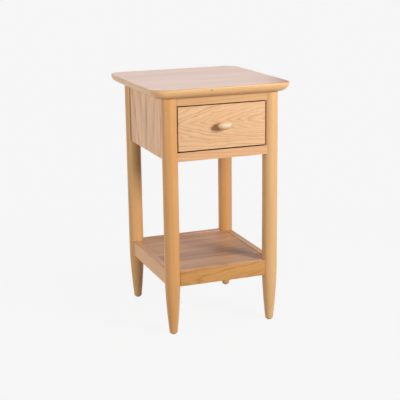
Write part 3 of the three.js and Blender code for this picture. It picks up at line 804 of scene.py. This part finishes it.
def rounded_ring(centre, half_x, half_y, radius, z):
    ring = []
    for quarter, (sign_x, sign_y) in enumerate(((1, 1), (-1, 1), (-1, -1), (1, -1))):
        for step in range(TOP_CORNER_STEPS + 1):
            angle = (quarter + step / TOP_CORNER_STEPS) * math.pi / 2
            x = centre.x + sign_x * (half_x - radius) + radius * math.cos(angle)
            y = centre.y + sign_y * (half_y - radius) + radius * math.sin(angle)
            ring.append(Vector((x, y, z)))
    return ring


def make_top():
    low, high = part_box("top")
    centre, half = (low + high) / 2, (high - low) / 2

    def ring(inset, z):
        return rounded_ring(centre, half.x - inset, half.y - inset, TOP_CORNER - inset, z)

    rings = []
    for angle in reversed(quarter_turn(TOP_UNDERCUT_STEPS)):
        drop = (high.z - low.z - TOP_BAND) * math.sin(angle)
        rings.append(ring(TOP_UNDERCUT * (1 - math.cos(angle)), high.z - TOP_BAND - drop))
    for angle in quarter_turn(TOP_ARRIS_STEPS):
        inset = TOP_ARRIS * (1 - math.cos(angle))
        rings.append(ring(inset, high.z - TOP_ARRIS * (1 - math.sin(angle))))
    weigh_normals(add_piece(loft("top_board", rings), "top", "carcass", "top"))


# ---- Legs ----------------------------------------------------------------------------------

TAPER_START = 150 * MM
TAPER_POWER = 1.65
TAPER_DROP = 10.2 * MM
TAPER_STEPS = 28
FOOT_ROUNDING = 3 * MM
FOOT_STEPS = 8
LEG_SEGMENTS = 96


def leg_radius(height):
    if height >= TAPER_START:
        return LEG_RADIUS
    return LEG_RADIUS - TAPER_DROP * (1 - height / TAPER_START) ** TAPER_POWER


def leg_profile(bottom, top):
    rounding_top = bottom + FOOT_ROUNDING
    profile = [(0, bottom)]
    for angle in quarter_turn(FOOT_STEPS):
        radius = leg_radius(rounding_top) - FOOT_ROUNDING * (1 - math.sin(angle))
        profile.append((radius, rounding_top - FOOT_ROUNDING * math.cos(angle)))
    for step in range(1, TAPER_STEPS + 1):
        height = rounding_top + (TAPER_START - rounding_top) * step / TAPER_STEPS
        profile.append((leg_radius(height), height))
    profile += [(LEG_RADIUS, top), (0, top)]
    return profile


def make_legs():
    profile = leg_profile(leg_low.z, leg_high.z)
    for end in ENDS:
        for side in SIDES:
            name = f"leg_{end}_{side}"
            leg = lathe(f"turned_{name}", profile, middle(name), LEG_SEGMENTS)
            keep_sharp(leg, 50)
            add_piece(leg, name, "carcass", name)


# ---- Rails, panels and shelf ---------------------------------------------------------------

RAIL_ARRIS = 0.4 * MM
SHELF_RAIL_ARRIS = 1.2 * MM
PANEL_ARRIS = 0.8 * MM
SHELF_ARRIS = 0.6 * MM
SCRIBE_STEPS = 10
NOTCH_STEPS = 14


def scribed_outline(low, high, axis):
    """Plan outline of a member between two legs, with its ends scribed to their round sides."""
    reach = LEG_RADIUS + SCRIBE_GAP
    along, across = (0, 1) if axis == "x" else (1, 0)
    leg_along, leg_across = LEG_OFFSET[along], LEG_OFFSET[across]
    near, far = low[across] - MIDDLE[across], high[across] - MIDDLE[across]
    sign = 1 if near + far > 0 else -1
    longest = high[along] - MIDDLE[along]
    edge = []
    for step in range(SCRIBE_STEPS + 1):
        place = near + (far - near) * step / SCRIBE_STEPS
        offset = place - sign * leg_across
        chord = math.sqrt(max(reach ** 2 - offset ** 2, 0))
        edge.append((min(leg_along - chord, longest), place))
    outline = edge + [(-far_along, place) for far_along, place in reversed(edge)]
    if axis == "y":
        outline = [(place, far_along) for far_along, place in outline][::-1]
    return outline


def make_member(name, axis, arris):
    low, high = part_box(name)
    made = prism(f"{name}_oak", scribed_outline(low, high, axis), low.z, high.z)
    return add_piece(soften(made, arris), name, "carcass", name)


def make_members():
    # the rails' faces that look into the gaps round the drawer get painted shade
    paint_gap_shade(make_member("front_rail_top", "x", RAIL_ARRIS), "painted_gap_shade", DOWN)
    paint_gap_shade(make_member("front_rail_bottom", "x", RAIL_ARRIS), "painted_gap_shade", UP)
    for end in ENDS:
        make_member(f"shelf_rail_{end}", "x", SHELF_RAIL_ARRIS)
    for side in SIDES:
        make_member(f"shelf_rail_{side}", "y", SHELF_RAIL_ARRIS)
        make_member(f"side_panel_{side}", "y", PANEL_ARRIS)
    make_member("back_panel", "x", PANEL_ARRIS)


def make_shelf_board():
    """A board whose corners are notched round the legs."""
    low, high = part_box("shelf_board")
    inset = LEG_OFFSET - (high - MIDDLE)
    reach = LEG_RADIUS + NOTCH_GAP
    start = math.atan2(-math.sqrt(reach ** 2 - inset.x ** 2), -inset.x)
    stop = math.atan2(-inset.y, -math.sqrt(reach ** 2 - inset.y ** 2))
    corner = []
    for step in range(NOTCH_STEPS + 1):
        angle = start + (stop - start) * step / NOTCH_STEPS
        corner.append((LEG_OFFSET.x + reach * math.cos(angle), LEG_OFFSET.y + reach * math.sin(angle)))
    outline = list(corner)
    outline += [(-x, y) for x, y in reversed(corner)]
    outline += [(-x, -y) for x, y in corner]
    outline += [(x, -y) for x, y in reversed(corner)]
    board = prism("shelf_board_oak", outline, low.z, high.z)
    add_piece(soften(board, SHELF_ARRIS), "shelf", "carcass", "shelf_board")


# ---- Drawer front --------------------------------------------------------------------------

FRONT_EASE = 0.8 * MM  # planed off the top and the bottom of the front
FRONT_ARRIS = 0.4 * MM
FRONT_BEVEL_DEPTH = 7.4 * MM
FRONT_BACK_HALF_X = 118.6 * MM
FIT_GAP = 0.3 * MM
GROOVE_DEPTH = 4.3 * MM
SOCKET_DEPTH = 12.3 * MM
SOCKET_HALF = 9.3 * MM
SOCKET_FLARE = 2 * MM
SOCKET_COUNT = 3
SOCKET_OVERRUN = 8 * MM


def front_blank(low, high):
    """The front before it is jointed. Its ends are planed back behind the show face."""
    show_y, back_y = low.y - MIDDLE.y, high.y - MIDDLE.y
    bevel_y = show_y + FRONT_BEVEL_DEPTH
    outline = [
        (high.x - MIDDLE.x, show_y),
        (FRONT_BACK_HALF_X, bevel_y),
        (FRONT_BACK_HALF_X, back_y),
        (-FRONT_BACK_HALF_X, back_y),
        (-FRONT_BACK_HALF_X, bevel_y),
        (low.x - MIDDLE.x, show_y),
    ]
    blank = prism("drawer_front_oak", outline, low.z + FRONT_EASE, high.z - FRONT_EASE)
    apply_modifiers(soften(blank, FRONT_ARRIS))
    return blank


def groove_cutter(back_y):
    """The groove that the drawer bottom sits in."""
    low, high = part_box("drawer_bottom")
    half = (high.x - low.x) / 2 + FIT_GAP
    inner_y, outer_y = back_y - GROOVE_DEPTH, back_y + CUT_OVERRUN
    outline = [(-half, inner_y), (half, inner_y), (half, outer_y), (-half, outer_y)]
    return prism("groove_cutter", outline, low.z - FIT_GAP, high.z + FIT_GAP)


def socket_cutter(low_x, high_x, back_y, centre_z):
    """The flared socket that a tail of the drawer side fits in."""
    widest = SOCKET_HALF + SOCKET_FLARE
    sections = []
    for y, half in ((back_y - SOCKET_DEPTH, widest), (back_y + CUT_OVERRUN, SOCKET_HALF)):
        corners = ((low_x, -half), (high_x, -half), (high_x, half), (low_x, half))
        sections.append([Vector((x, y, centre_z + z)) for x, z in corners])
    return loft("socket_cutter", sections)


def make_drawer_front():
    low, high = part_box("drawer_front")
    front = front_blank(low, high)
    combine(front, groove_cutter(high.y - MIDDLE.y), "DIFFERENCE")
    for side in SIDES:
        side_low, side_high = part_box(f"drawer_side_{side}")
        if side == "right":
            low_x, high_x = side_low.x - FIT_GAP, side_high.x + SOCKET_OVERRUN
        else:
            low_x, high_x = side_low.x - SOCKET_OVERRUN, side_high.x + FIT_GAP
        pitch = (side_high.z - side_low.z) / SOCKET_COUNT
        for k in range(SOCKET_COUNT):
            centre_z = side_low.z + pitch * (k + 0.5)
            combine(front, socket_cutter(low_x, high_x, high.y, centre_z), "DIFFERENCE")
    keep_sharp(front, 35)
    add_piece(front, "drawer_front", "drawer", "drawer_front")
    # the front's top and bottom edges, which lie in the gaps, get painted shade
    paint_gap_shade(front, "drawer_edge_shade", UP, DOWN)
    weigh_normals(front)


# ---- Knob ----------------------------------------------------------------------------------

KNOB_HALF_DEPTH = 9.5 * MM
NECK_ROOT_RADIUS = 7.6 * MM
NECK_RADIUS = 7 * MM
NECK_ROOT = 1.5 * MM
NECK_LENGTH = 14 * MM
KNOB_SEGMENTS = 48
KNOB_RINGS = 32


def knob_head(centre, half):
    """An oval pebble."""
    shape = bmesh.new()
    bmesh.ops.create_uvsphere(shape, u_segments=KNOB_SEGMENTS, v_segments=KNOB_RINGS, radius=1.0)
    turn = Matrix.Rotation(math.pi / 2, 4, "Y")
    bmesh.ops.transform(shape, matrix=turn, verts=shape.verts)
    for vertex in shape.verts:
        vertex.co = centre + Vector(vertex.co[k] * half[k] for k in range(3))
    head = new_mesh_object("oval_knob", [], [])
    shape.to_mesh(head.data)
    shape.free()
    return head


def knob_neck(root):
    """A short round neck that stands on the drawer's face."""
    profile = [
        (0, 0),
        (NECK_ROOT_RADIUS, 0),
        (NECK_RADIUS, NECK_ROOT),
        (NECK_RADIUS, NECK_LENGTH),
        (0, NECK_LENGTH),
    ]
    neck = lathe("knob_neck", profile, (0, 0), KNOB_SEGMENTS)
    turn = Matrix.Rotation(math.pi / 2, 4, "X")
    neck.data.transform(Matrix.Translation(root) @ turn)
    return neck


def make_knob():
    low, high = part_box("drawer_knob")
    half = Vector(((high.x - low.x) / 2, KNOB_HALF_DEPTH, (high.z - low.z) / 2))
    centre = Vector((MIDDLE.x, low.y + half.y, (low.z + high.z) / 2))
    knob = knob_head(centre, half)
    combine(knob, knob_neck((centre.x, high.y, centre.z)), "UNION")
    keep_sharp(knob, 30)
    add_piece(knob, "knob", "drawer", "drawer_knob")


# ---- Screws and glides ---------------------------------------------------------------------

SCREW_HEAD_HEIGHT = 2.4 * MM
SCREW_RIM = 0.25 * MM
SCREW_RIM_SHARE = 0.97  # of the head's radius, at the outer face
SCREW_SHANK_SHARE = 0.5
SCREW_TIP_SHARE = 0.4  # of the shank's radius
SCREW_POINT_LENGTH = 3  # shank radii
SCREW_SEGMENTS = 24
RECESS_DEPTH = 1.4 * MM
RECESS_WIDTH = 0.9 * MM
RECESS_REACH_SHARE = 0.62  # of the head's radius
RECESS_TAPER = 0.45
GLIDE_RIM = 0.8 * MM
GLIDE_LIP = 2 * MM
GLIDE_PIN = 1.5 * MM
GLIDE_RIM_STEPS = 6
GLIDE_SEGMENTS = 40


def screw_facing(name):
    """The way a screw's head faces."""
    if name.startswith("guide_screw"):
        return Vector((1, 0, 0)) if name.endswith("left") else Vector((-1, 0, 0))
    if name == "knob_screw":
        return Vector((0, 1, 0))
    return Vector(DOWN)


def screw_profile(head, length):
    """From the point up to the flat of the head, which is at height 0."""
    shank = head * SCREW_SHANK_SHARE
    tip = shank * SCREW_TIP_SHARE
    return [
        (0, -length),
        (tip, -length + tip),
        (shank, -length + SCREW_POINT_LENGTH * shank),
        (shank, -SCREW_HEAD_HEIGHT),
        (head, -SCREW_RIM),
        (head * SCREW_RIM_SHARE, 0),
        (0, 0),
    ]


def recess_blade(reach, turn):
    """One arm-to-arm blade of the cross recess, narrower at the bottom."""
    shape = bmesh.new()
    bmesh.ops.create_cube(shape, size=2.0)
    for vertex in shape.verts:
        taper = 1.0 if vertex.co.z > 0 else RECESS_TAPER
        vertex.co.x *= reach * taper
        vertex.co.y *= RECESS_WIDTH / 2
        vertex.co.z *= RECESS_DEPTH
    blade = new_mesh_object("recess_blade", [], [])
    shape.to_mesh(blade.data)
    shape.free()
    blade.data.transform(Matrix.Rotation(turn, 4, "Z"))
    return blade


def make_screw(name):
    low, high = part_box(name)
    centre, size = (low + high) / 2, high - low
    length = max(size)
    head = min(size) / 2
    screw = lathe(f"{name}_body", screw_profile(head, length), (0, 0), SCREW_SEGMENTS)
    for turn in (0, math.pi / 2):
        combine(screw, recess_blade(head * RECESS_REACH_SHARE, turn), "DIFFERENCE")
    facing = screw_facing(name)
    turn = facing.to_track_quat("Z", "Y").to_matrix().to_4x4()
    screw.data.transform(Matrix.Translation(centre + facing * length / 2) @ turn)
    keep_sharp(screw, 30)
    body = "drawer" if name.startswith(("knob", "drawer")) else "carcass"
    add_piece(screw, "steel", body, name)


def make_glide(name):
    low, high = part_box(name)
    radius = (high.x - low.x) / 2
    profile = [(0, low.z), (radius - 2 * GLIDE_RIM, low.z)]
    for angle in quarter_turn(GLIDE_RIM_STEPS):
        inset = GLIDE_RIM * (1 - math.sin(angle))
        profile.append((radius - inset, low.z + GLIDE_RIM * (1 - math.cos(angle))))
    profile += [
        (radius, low.z + GLIDE_LIP),
        (GLIDE_PIN, low.z + GLIDE_LIP),
        (GLIDE_PIN, high.z - GLIDE_PIN),
        (0, high.z),
    ]
    glide = lathe(f"{name}_pad", profile, middle(name), GLIDE_SEGMENTS)
    keep_sharp(glide, 40)
    add_piece(glide, "glide", "carcass", name)


def make_hardware():
    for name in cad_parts:
        if "screw" in name:
            make_screw(name)
        elif name.startswith("glide_"):
            make_glide(name)


# ---- CAD pieces that keep their shape ------------------------------------------------------

WELD_REACH = 0.01 * MM
DRAWER_SIDE_ARRIS = 0.25 * MM
BOX_ARRIS = 0.5 * MM
CLEAT_ARRIS = 0.8 * MM


def finish_cad_node(name, material, arris):
    """Welds the facets of a CAD piece, rounds its edges and gives it its wood."""
    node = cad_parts[name]
    node.data.materials.clear()
    node.data.materials.append(MATERIALS[material])
    weld = node.modifiers.new("weld", "WELD")
    weld.merge_threshold = WELD_REACH
    node.data.shade_flat()
    soften(node, arris, segments=2, harden=False)


def finish_cad_nodes():
    for name in ("drawer_back", "drawer_bottom"):
        finish_cad_node(name, "lining_x", BOX_ARRIS)
    for end in ENDS:
        finish_cad_node(f"shelf_cleat_{end}", "cleat_x", CLEAT_ARRIS)
    for side in SIDES:
        finish_cad_node(f"drawer_side_{side}", "lining", DRAWER_SIDE_ARRIS)
        finish_cad_node(f"drawer_stop_{side}", "cleat_x", BOX_ARRIS)
        finish_cad_node(f"shelf_cleat_{side}", "slides", CLEAT_ARRIS)
        for kind in ("runner", "guide", "kicker"):
            finish_cad_node(f"drawer_{kind}_{side}", "slides", BOX_ARRIS)


make_top()
make_legs()
make_members()
make_shelf_board()
make_drawer_front()
make_knob()
make_hardware()
finish_cad_nodes()
